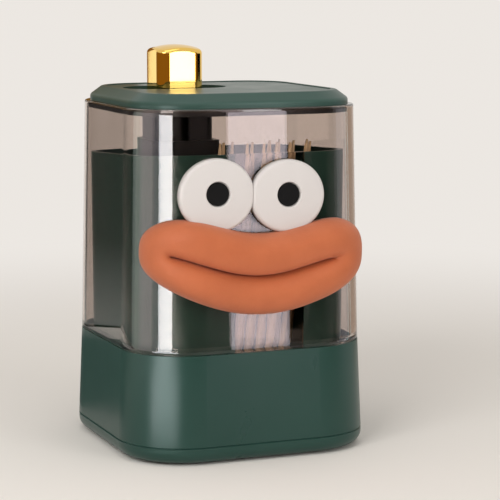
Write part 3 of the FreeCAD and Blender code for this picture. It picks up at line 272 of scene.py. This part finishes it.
window_cards = 0.20
window_cards_top = 0.0915
wall_foot = 0.004
skirt_cards_top = 0.0225
button_cards = 0.070
button_cards_low = 0.0965
button_cards_top = 0.13
cool_white = (0.95, 0.97, 1.0)
card("black_card", 0.22, -94.5, 160.0, 0.0, 0.11, 0.0)
for card_name, first, last, low, radiance, tint in (
        ("stripe_card", 40.5, 61.5, 0.0, 12.0, cool_white),
        ("blue_dim_card", 62.5, 72.0, 0.0, 1.0, (0.88, 0.9, 1.0)),
        ("left_dim_card", 72.0, 96.0, wall_foot, 2.0, (1.0, 0.93, 0.96)),
        ("green_dim_card", 96.0, 112.0, wall_foot, 1.5, (0.88, 1.0, 0.92)),
        ("front_card", -21.5, -15.5, 0.0, 4.3, (0.97, 0.90, 1.0)),
        ("right_card", -88.0, -62.0, 0.0, 0.8, (0.9, 0.92, 1.0)),
        ("teal_card", -94.5, -92.0, 0.0, 1.2, (0.4, 0.76, 0.8)),
        ("edge_card", -130.0, -94.5, 0.0, 0.4, (1.0, 0.78, 0.62))):
    card(card_name, window_cards, first, last, low, window_cards_top, radiance, tint)
card("side_card", window_cards, 112.0, 162.0, wall_foot, window_cards_top, 0.25,
     (0.94, 1.0, 0.97), (0.036, 0.03))
card("skirt_card", 0.10, 33.0, 65.0, 0.0, skirt_cards_top, 12.0, cool_white)
card("skirt_side_card", 0.070, 105.0, 155.0, 0.0, skirt_cards_top, 0.16, (0.8, 1.0, 0.9))
card("amber_card", 0.072, -45.0, 180.0, button_cards_low, button_cards_top, 0.25,
     (1.0, 0.5, 0.1))
card("button_card", button_cards, -17.6, -8.3, button_cards_low, button_cards_top, 6.5)
card("button_left_card", button_cards, 146.0, 151.6, button_cards_low, button_cards_top, 1.2,
     (1.0, 0.98, 0.9))


# Base: skirt and bottom cover, injection moulded in dark green plastic with a satin gloss.
# The cover is screwed up from below, which leaves the thin seam line near the floor.
def shader_group(name, inputs, outputs):
    """An empty shader node group with the given named float inputs and outputs."""
    group = bpy.data.node_groups.new(name, "ShaderNodeTree")
    for label, value in inputs.items():
        socket = group.interface.new_socket(label, in_out="INPUT", socket_type="NodeSocketFloat")
        socket.default_value = value
    for label in outputs:
        group.interface.new_socket(label, in_out="OUTPUT", socket_type="NodeSocketFloat")
    return group, group.nodes.new("NodeGroupInput"), group.nodes.new("NodeGroupOutput")


moulding_grain, grain_in, grain_out = shader_group(
    "moulding_grain", {"Scale": 900.0, "Detail": 3.0}, ["Height"])
grain_place = moulding_grain.nodes.new("ShaderNodeTexCoord")
grain_noise = moulding_grain.nodes.new("ShaderNodeTexNoise")
moulding_grain.links.new(grain_place.outputs["Object"], grain_noise.inputs["Vector"])
moulding_grain.links.new(grain_in.outputs["Scale"], grain_noise.inputs["Scale"])
moulding_grain.links.new(grain_in.outputs["Detail"], grain_noise.inputs["Detail"])
moulding_grain.links.new(grain_noise.outputs["Fac"], grain_out.inputs["Height"])

handling_marks, marks_in, marks_out = shader_group(
    "handling_marks", {"Scale": 60.0, "Low": 0.3, "High": 0.4}, ["Roughness"])
marks_place = handling_marks.nodes.new("ShaderNodeTexCoord")
marks_noise = handling_marks.nodes.new("ShaderNodeTexNoise")
marks_noise.inputs["Detail"].default_value = 5.0
marks_noise.inputs["Distortion"].default_value = 0.6
marks_range = handling_marks.nodes.new("ShaderNodeMapRange")
marks_range.inputs["From Min"].default_value = 0.3
marks_range.inputs["From Max"].default_value = 0.7
handling_marks.links.new(marks_place.outputs["Object"], marks_noise.inputs["Vector"])
handling_marks.links.new(marks_in.outputs["Scale"], marks_noise.inputs["Scale"])
handling_marks.links.new(marks_noise.outputs["Fac"], marks_range.inputs["Value"])
handling_marks.links.new(marks_in.outputs["Low"], marks_range.inputs["To Min"])
handling_marks.links.new(marks_in.outputs["High"], marks_range.inputs["To Max"])
handling_marks.links.new(marks_range.outputs["Result"], marks_out.inputs["Roughness"])


def add_group(tree, group, **values):
    """Places a shared group in a material with its own values."""
    node = tree.nodes.new("ShaderNodeGroup")
    node.node_tree = group
    for label, value in values.items():
        node.inputs[label].default_value = value
    return node


def moulded(tree, shader, grain_scale, grain_depth, low, high, marks_scale=60.0):
    """Gives a material a moulded part's fine grain, and gloss that varies from low to high."""
    grain = add_group(tree, moulding_grain, Scale=grain_scale)
    bump = tree.nodes.new("ShaderNodeBump")
    bump.inputs["Strength"].default_value = 1.0
    bump.inputs["Distance"].default_value = grain_depth
    tree.links.new(grain.outputs["Height"], bump.inputs["Height"])
    tree.links.new(bump.outputs["Normal"], shader.inputs["Normal"])
    marks = add_group(tree, handling_marks, Scale=marks_scale, Low=low, High=high)
    tree.links.new(marks.outputs["Roughness"], shader.inputs["Roughness"])


def two_tone(tree, shader, scale, low, high):
    """Feeds the base colour from a soft noise that runs between two near tones."""
    place = tree.nodes.new("ShaderNodeTexCoord")
    noise = tree.nodes.new("ShaderNodeTexNoise")
    noise.inputs["Scale"].default_value = scale
    noise.inputs["Detail"].default_value = 6.0
    tones = tree.nodes.new("ShaderNodeValToRGB")
    tones.color_ramp.elements[0].position = 0.35
    tones.color_ramp.elements[0].color = low
    tones.color_ramp.elements[1].position = 0.65
    tones.color_ramp.elements[1].color = high
    tree.links.new(place.outputs["Object"], noise.inputs["Vector"])
    tree.links.new(noise.outputs["Fac"], tones.inputs["Fac"])
    tree.links.new(tones.outputs["Color"], shader.inputs["Base Color"])


def pass_light(tree, shader, tint):
    """Lets lamps shine through a clear part: shadow rays go straight through with a tint."""
    path = tree.nodes.new("ShaderNodeLightPath")
    clear = tree.nodes.new("ShaderNodeBsdfTransparent")
    clear.inputs["Color"].default_value = tint
    mix = tree.nodes.new("ShaderNodeMixShader")
    tree.links.new(path.outputs["Is Shadow Ray"], mix.inputs["Fac"])
    tree.links.new(shader.outputs["BSDF"], mix.inputs[1])
    tree.links.new(clear.outputs["BSDF"], mix.inputs[2])
    tree.links.new(mix.outputs["Shader"], tree.nodes["Material Output"].inputs["Surface"])


def dress(made, *names):
    """Puts one material on CAD nodes."""
    for name in names:
        mesh = nodes[name].data
        mesh.materials.clear()
        mesh.materials.append(made)


satin_green, satin_tree, satin_shader = material("satin_green", Specular_IOR_Level=0.28)
moulded(satin_tree, satin_shader, 3500.0, 0.000008, 0.27, 0.33)
two_tone(satin_tree, satin_shader, 30.0, (0.016, 0.051, 0.041, 1.0), (0.020, 0.058, 0.047, 1.0))
dress(satin_green, "base_skirt", "bottom_cover")

# Feet and steel pieces: four black rubber discs under the base, bright zinc plated screws, the
# steel pin that the gear turns on, and the return spring, which is squashed on its seat by the
# carriage when the button goes down.
foot_rubber, foot_tree, foot_shader = material("foot_rubber", Base_Color=(0.02, 0.02, 0.02, 1.0))
moulded(foot_tree, foot_shader, 1200.0, 0.00003, 0.65, 0.8)
dress(foot_rubber, "rubber_feet")
zinc_steel, zinc_tree, zinc_shader = material("zinc_steel", Metallic=1.0,
                                              Base_Color=(0.60, 0.60, 0.62, 1.0))
moulded(zinc_tree, zinc_shader, 700.0, 0.00001, 0.22, 0.38, 300.0)
dress(zinc_steel, "base_screws", "tower_screws", "lid_screws", "gear_axle", "return_spring")
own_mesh(nodes["return_spring"])

# Hopper: a green bin that holds the toothpicks, opaque and glossy, with a smoky clear pane in the
# front that shows how many are left.
bin_green, bin_tree, bin_shader = material("bin_green", Base_Color=(0.020, 0.058, 0.045, 1.0))
moulded(bin_tree, bin_shader, 900.0, 0.000002, 0.28, 0.34)
dress(bin_green, "hopper_bin")
pane_smoke, pane_tree, pane_shader = material("pane_smoke", Transmission_Weight=1.0, IOR=1.49,
                                              Base_Color=(0.82, 0.78, 0.75, 1.0))
moulded(pane_tree, pane_shader, 120.0, 0.0000002, 0.0, 0.012)
pass_light(pane_tree, pane_shader, (0.95, 0.94, 0.93, 1.0))
dress(pane_smoke, "hopper_pane")

# Tower and gear train: two black moulded tower halves screwed to the deck, with white slippery
# gears and racks inside them. The lid's liner and the button's stem are of the same black.
tower_black, tower_tree, tower_shader = material("tower_black",
                                                 Base_Color=(0.024, 0.024, 0.026, 1.0))
moulded(tower_tree, tower_shader, 900.0, 0.00001, 0.28, 0.38)
dress(tower_black, "tower_front", "tower_back", "lid_liner", "button_stem")
gear_white, gear_tree, gear_shader = material("gear_white", Base_Color=(0.78, 0.77, 0.73, 1.0))
moulded(gear_tree, gear_shader, 1100.0, 0.00001, 0.35, 0.45)
dress(gear_white, "drive_gear", "rack_carriage", "lifter")

# Toothpicks: turned from pale birch, pointed at both ends, with grain along their length and a
# slightly different tone on each stick.
stick_wood, stick_tree, stick_shader = material("stick_wood", Roughness=0.6)
stick_place = stick_tree.nodes.new("ShaderNodeTexCoord")
stick_stretch = stick_tree.nodes.new("ShaderNodeMapping")
stick_stretch.inputs["Scale"].default_value = (1.0, 1.0, 0.04)
stick_noise = stick_tree.nodes.new("ShaderNodeTexNoise")
stick_noise.inputs["Scale"].default_value = 1500.0
stick_noise.inputs["Detail"].default_value = 4.0
stick_tones = stick_tree.nodes.new("ShaderNodeValToRGB")
stick_tones.color_ramp.elements[0].position = 0.3
stick_tones.color_ramp.elements[0].color = (0.74, 0.51, 0.29, 1.0)
stick_tones.color_ramp.elements[1].position = 0.7
stick_tones.color_ramp.elements[1].color = (0.92, 0.72, 0.49, 1.0)
stick_tree.links.new(stick_place.outputs["Object"], stick_stretch.inputs["Vector"])
stick_tree.links.new(stick_stretch.outputs["Vector"], stick_noise.inputs["Vector"])
stick_tree.links.new(stick_noise.outputs["Fac"], stick_tones.inputs["Fac"])
stick_tree.links.new(stick_tones.outputs["Color"], stick_shader.inputs["Base Color"])
stick_bump = stick_tree.nodes.new("ShaderNodeBump")
stick_bump.inputs["Distance"].default_value = 0.00004
stick_tree.links.new(stick_noise.outputs["Fac"], stick_bump.inputs["Height"])
stick_tree.links.new(stick_bump.outputs["Normal"], stick_shader.inputs["Normal"])
dress(stick_wood, "served_toothpick")

# The loose sticks stand in rows behind the pane, and each one leans a little to the right.
stick_length = 0.065
stick_radius = 0.00076
stick_point = 0.00032
stick_taper = 0.011
stick_floor = 0.02203
stick_sides = 14
hopper_spread = 0.020
front_row_y = -0.0229
row_spacing = 0.0023
stick_rows_y = front_row_y + row_spacing * np.arange(5)
# Each stick is the place of its foot and how far its top leans, both as shares of the spread.
stick_rows = (((-0.265, 0.2), (-0.13, 0.315), (0.03, 0.35), (0.17, 0.41), (0.37, 0.44)),
              ((-0.57, 0.15), (-0.21, 0.265), (-0.05, 0.37), (0.11, 0.31), (0.27, 0.35)),
              ((-0.48, 0.155), (-0.12, 0.22), (0.02, 0.33), (0.56, 0.41)),
              ((-0.32, 0.17), (0.26, 0.15), (0.46, 0.31)),
              ((0.4, 0.2), (0.7, 0.325)))


def leaning_sticks(name):
    """Turned profiles along straight axes: the radius eases from the point to the full stick."""
    places = np.array([(foot, row_y, lean) for row, row_y in zip(stick_rows, stick_rows_y)
                       for foot, lean in row])
    ease = np.linspace(0.0, 1.0, 7)
    along = np.concatenate([[0.0, 0.0], stick_taper * ease[1:],
                            stick_length - stick_taper * ease[:0:-1], [stick_length] * 2])
    full = stick_point + (stick_radius - stick_point) * np.sin(ease * math.pi / 2)
    radius = np.concatenate([[0.0], full, full[::-1], [0.0]])
    around = np.linspace(0.0, 2 * math.pi, stick_sides, endpoint=False)
    tilt = np.arcsin(places[:, 2] * hopper_spread / stick_length)[:, None, None]
    side = (radius[:, None] * np.cos(around))[None]
    depth = (radius[:, None] * np.sin(around))[None]
    height = along[None, :, None]
    foot_x = (places[:, 0] * hopper_spread)[:, None, None]
    rise = stick_floor + stick_point * np.sin(tilt)
    x = foot_x + height * np.sin(tilt) + side * np.cos(tilt)
    y = places[:, 1][:, None, None] + depth + 0 * x
    z = rise + height * np.cos(tilt) - side * np.sin(tilt)
    return surface(name, np.stack([x, y, z], axis=-1), close_columns=True)


loose_sticks = leaning_sticks("loose_sticks")
finish_mesh(loose_sticks)
loose_sticks.data.materials.append(stick_wood)
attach(loose_sticks, "housing")
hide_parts("toothpicks")


# Window sleeve: a moulded tube of clear plastic tinted with smoke brown, 1.6 mm thick, whose
# tongue stands in a groove of the skirt. Its walls lean in a little towards the lid.
# A short straight strip beside each corner keeps the reflections on the flat walls straight.
corner_lead = 0.0008


def rounded_square(half, radius, y_centre, corner_steps):
    """A square outline with quarter-circle corners and a point just before and after each."""
    quarter = np.linspace(0.0, math.pi / 2, corner_steps)
    quarter = np.concatenate([quarter[:1], quarter, quarter[-1:]])
    lead = np.zeros_like(quarter)
    lead[0], lead[-1] = -corner_lead, corner_lead
    lead = np.tile(lead, 4)
    angles = (quarter[None, :] + np.arange(4)[:, None] * math.pi / 2).ravel()
    side_x = np.repeat([1.0, -1.0, -1.0, 1.0], len(quarter))
    side_y = np.repeat([1.0, 1.0, -1.0, -1.0], len(quarter))
    x = side_x * (half - radius) + radius * np.cos(angles) - lead * np.sin(angles)
    y = side_y * (half - radius) + radius * np.sin(angles) + lead * np.cos(angles) + y_centre
    return x, y


def square_shell(name, stations, y_centre, corner_steps=22, closed=True):
    """A wall of rounded square outlines: one outline for each (half width, radius, height)."""
    rings = []
    for half, radius, height in stations:
        x, y = rounded_square(half, radius, y_centre, corner_steps)
        rings.append(np.stack([x, y, np.full_like(x, height)], axis=1))
    return surface(name, np.array(rings), close_rows=closed, close_columns=True)


body_y = 0.003
skirt_top = (0.0350, 0.0184, 0.0304)
sleeve_top = (0.0336, 0.0176, 0.0970)
sleeve_wall = 0.0016
tongue_inset = 0.0012
tongue_wall = 0.0009
tongue_bottom = 0.0274
sleeve_bottom = 0.0307
rim_round = 0.0005
foot_break = 0.00015


def body_size(height):
    """Half width and corner radius of the sleeve's outside at a height, along a straight lean."""
    share = (height - skirt_top[2]) / (sleeve_top[2] - skirt_top[2])
    return (skirt_top[0] + share * (sleeve_top[0] - skirt_top[0]),
            skirt_top[1] + share * (sleeve_top[1] - skirt_top[1]))


def sleeve_station(height, inset):
    """One outline of the sleeve, moved inwards by inset."""
    half, radius = body_size(height)
    return half - inset, radius - inset, height


rim_angles = np.linspace(0.0, math.pi / 2, 5)
rim_low = sleeve_top[2] - rim_round
sleeve_profile = [sleeve_station(tongue_bottom, tongue_inset),
                  sleeve_station(sleeve_bottom, tongue_inset),
                  sleeve_station(sleeve_bottom, foot_break),
                  sleeve_station(sleeve_bottom + foot_break, 0.0)]
# Outlines close to both ends of the wall keep its shading even up to the edges.
wall_heights = np.concatenate([[0.0316, 0.0325], np.linspace(0.036, rim_low - 0.004, 10),
                               [rim_low - 0.0012, rim_low - 0.0004, rim_low]])
sleeve_profile += [sleeve_station(height, 0.0) for height in wall_heights]
sleeve_profile += [sleeve_station(rim_low + rim_round * math.sin(a),
                                  rim_round * (1 - math.cos(a))) for a in rim_angles[1:]]
sleeve_profile += [sleeve_station(rim_low + rim_round * math.cos(a),
                                  sleeve_wall - rim_round * (1 - math.sin(a)))
                   for a in rim_angles]
sleeve_profile += [sleeve_station(height, sleeve_wall) for height in wall_heights[-2::-1]]
sleeve_profile += [sleeve_station(sleeve_bottom, tongue_inset + tongue_wall),
                   sleeve_station(tongue_bottom, tongue_inset + tongue_wall)]
sleeve = square_shell("clear_sleeve", sleeve_profile, body_y)
finish_mesh(sleeve)
sleeve_smoke, sleeve_tree, sleeve_shader = material("sleeve_smoke", Transmission_Weight=1.0,
                                                    IOR=1.49,
                                                    Base_Color=(0.745, 0.67, 0.625, 1.0))
moulded(sleeve_tree, sleeve_shader, 120.0, 0.00000004, 0.0, 0.012)
pass_light(sleeve_tree, sleeve_shader, (0.93, 0.90, 0.88, 1.0))
sleeve.data.materials.append(sleeve_smoke)
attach(sleeve, "housing")
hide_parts("window_sleeve")

# Eyes: two off-white matt discs with a gently domed front, glued side by side on the window.
# A round pocket in each holds a black pupil.
eyes_x = -0.0035
eye_spacing = 0.0206
eye_height = 0.0745
right_eye_drop = 0.0009
eye_radius = 0.0102
eye_widening = 1.06
eye_flattening = 0.98
eye_sag = 0.00045
half_gap = 0.00003
glue_film = 0.00002
eye_front = -0.0369 + body_y
eye_edge_round = 0.0011
eye_dome_drop = 0.0004
pocket_radius = 0.00345
pocket_depth = 0.0010
pocket_lip = 0.00025
eye_sides = 96
dome_rings = 14


def domed_eye(name, side, x_centre, z_centre):
    """A profile turned about the Y axis: pocket floor, pocket wall, dome, round edge and flank.

    The outer rings grow wider than high and sag a little, and they stop at the plane where the
    two eyes meet.
    """
    turn = np.linspace(0.0, 2 * math.pi, eye_sides, endpoint=False)
    bend = np.linspace(0.0, math.pi / 2, 7)
    dome_end = eye_radius - eye_edge_round
    across = np.linspace(pocket_radius + pocket_lip, dome_end, dome_rings)
    radii = np.concatenate([[0.0, pocket_radius * 0.6, pocket_radius, pocket_radius],
                            pocket_radius + pocket_lip * (1 - np.cos(bend[1:])), across[1:],
                            dome_end + eye_edge_round * np.sin(bend[1:])])
    dome = eye_dome_drop * (np.minimum(radii, dome_end) / dome_end) ** 2
    depth = eye_front + dome
    # Four rings make the pocket's floor and wall, the next six its lip, the last six the edge.
    depth[:3] = eye_front + pocket_depth
    depth[3] = eye_front + pocket_lip
    depth[4:10] = eye_front + pocket_lip * (1 - np.sin(bend[1:])) + dome[4:10]
    depth[-6:] += eye_edge_round * (1 - np.cos(bend[1:]))
    growth = np.clip((radii - pocket_radius) / (eye_radius - pocket_radius), 0.0, 1.0)[:, None]
    x = x_centre + radii[:, None] * np.cos(turn) * (1 + (eye_widening - 1) * growth)
    x = eyes_x + side * np.maximum(side * (x - eyes_x), half_gap)
    z = z_centre + radii[:, None] * np.sin(turn) * (1 + (eye_flattening - 1) * growth)
    z = z - eye_sag * growth
    front = np.stack([x, np.broadcast_to(depth[:, None], x.shape), z], axis=2)
    rim_x, rim_z = x[-1], z[-1]
    back = []
    for share in (1.0, 0.5, 0.0):
        back_x = x_centre + share * (rim_x - x_centre)
        back_z = z_centre + share * (rim_z - z_centre)
        back_y = body_y - body_size(back_z)[0] - glue_film
        back.append(np.stack([back_x, back_y, back_z], axis=1))
    return surface(name, np.concatenate([front, np.array(back)]), close_columns=True)


eye_white, eye_tree, eye_shader = material("eye_white", Base_Color=(0.64, 0.61, 0.60, 1.0))
moulded(eye_tree, eye_shader, 1600.0, 0.00002, 0.5, 0.62)
for side, eye_name in ((-1, "left_eye"), (1, "right_eye")):
    eye = domed_eye(eye_name + "_disc", side, eyes_x + side * eye_spacing / 2,
                    eye_height - max(side, 0) * right_eye_drop)
    finish_mesh(eye)
    eye.data.materials.append(eye_white)
    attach(eye, "housing")
    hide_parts(eye_name)
pupil_black, pupil_tree, pupil_shader = material("pupil_black", Specular_IOR_Level=0.2,
                                                 Base_Color=(0.004, 0.004, 0.004, 1.0))
moulded(pupil_tree, pupil_shader, 900.0, 0.000008, 0.45, 0.55)
dress(pupil_black, "left_pupil", "right_pupil")

# Lips: cast in soft terracotta rubber, two full rolls that meet in a curved mouth line and run
# into each other at its ends. They are bent round the window's front and glued on.
lips_x = -0.0015
mouth_half = 0.0223
lips_half = 0.0310
lips_rise = 0.0111
mouth_low = 0.0522
mouth_smile = 0.0057
lips_curl = 0.26
lips_tilt = math.radians(1.7)
lips_squareness = 2.75
lips_thickness = 0.0077
crease_share = 0.30
lips_seat = 0.00003
mouth_shift = -0.0024
mouth_turn = 0.022
wrap_share = 0.35
outer_power = 0.75
crease_power = 0.9
crease_power_swing = 0.5
lower_lip_share = 0.93
lip_sides = 240
lip_rows = 41


def on_front(x, z, proud):
    """Points that stand proud of the window's front at x and z.

    On the flat wall they stand straight out. Round its corners, where the wall has turned by an
    angle, they lean sideways by a share of its sine and come out by a low power of its cosine.
    """
    half, radius = body_size(z)
    flat = half - radius
    turned = np.clip((np.abs(x) - flat) / radius, 0.0, 1.0)
    swing = np.where(np.abs(x) > flat, np.arcsin(turned), 0.0)
    wall_y = body_y - flat - radius * np.cos(swing)
    front_x = x + np.sign(x) * proud * np.sin(swing) * wrap_share
    front_y = wall_y - proud * np.cos(swing) ** wrap_share
    return np.stack([front_x, front_y, z], axis=-1)


def lip_place(spread, around):
    """X and Z of a loop round the mouth line: spread 0 is the line itself, 1 the outer edge."""
    power = 2.0 / lips_squareness
    cosine, sine = np.cos(around), np.sin(around)
    reach = mouth_half + (lips_half - mouth_half) * spread
    x = reach * np.sign(cosine) * np.abs(cosine) ** power
    bend = mouth_smile * (1 - np.cos(math.pi * x / lips_half)) / 2
    side = np.sign(sine) * np.abs(sine) ** power
    z = mouth_low + bend * (1 + lips_curl * spread * side) + lips_rise * spread * side
    x = x + mouth_shift * (1 - spread)
    z = z - mouth_turn * x * (1 - spread)
    rise = z - mouth_low
    return (lips_x + x * math.cos(lips_tilt) + rise * math.sin(lips_tilt),
            mouth_low - x * math.sin(lips_tilt) + rise * math.cos(lips_tilt))


around = np.linspace(0.0, 2 * math.pi, lip_sides + 1)[:-1][None, :]
across = np.linspace(0.0, math.pi, lip_rows)[:, None]
spread = 0.5 + 0.5 * np.cos(across)
outer_roll = np.sin(np.minimum(across, math.pi / 2)) ** outer_power
inner_power = crease_power - crease_power_swing * np.sin(around)
inner_roll = crease_share + (1 - crease_share) * np.sin(
    np.maximum(across, math.pi / 2)) ** inner_power
roll = np.where(across < math.pi / 2, outer_roll, inner_roll)
upper = 0.5 + 0.5 * np.sin(around)
lip_x, lip_z = lip_place(spread, around)
fullness = lower_lip_share + (1 - lower_lip_share) * upper
lip_front = on_front(lip_x, lip_z, lips_thickness * roll * fullness + lips_seat)
back_x, back_z = lip_place(np.linspace(0.0, 1.0, 9)[:, None], around)
lip_back = on_front(back_x, back_z, np.full_like(back_x, lips_seat))
lips = surface("soft_lips", np.concatenate([lip_front, lip_back]), close_rows=True,
               close_columns=True)
finish_mesh(lips)
lip_rubber, lip_tree, lip_shader = material("lip_rubber", Sheen_Weight=0.12,
                                            Subsurface_Weight=0.08, Subsurface_Scale=0.002)
moulded(lip_tree, lip_shader, 1500.0, 0.00007, 0.55, 0.68)
two_tone(lip_tree, lip_shader, 140.0, (0.475, 0.120, 0.040, 1.0), (0.515, 0.133, 0.046, 1.0))
lips.data.materials.append(lip_rubber)
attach(lips, "housing")
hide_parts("lips")

# Lid: moulded in the same green but polished, with a rounded edge and a shallow flat panel on top.
# It lifts off for refilling.
lid_green, lid_tree, lid_shader = material("lid_green", Base_Color=(0.036, 0.078, 0.066, 1.0),
                                           Specular_IOR_Level=0.3)
moulded(lid_tree, lid_shader, 1100.0, 0.00001, 0.30, 0.40)
dress(lid_green, "lid_shell")

# Button: a moulded cap plated in mirror gold, with rounded edges and faint finger marks. It sits
# on the black stem that pushes the lift down.
gold_plate, gold_tree, gold_shader = material("gold_plate", Metallic=1.0,
                                              Base_Color=(0.90, 0.60, 0.15, 1.0))
moulded(gold_tree, gold_shader, 400.0, 0.0000015, 0.04, 0.09, 180.0)
dress(gold_plate, "button_cap")
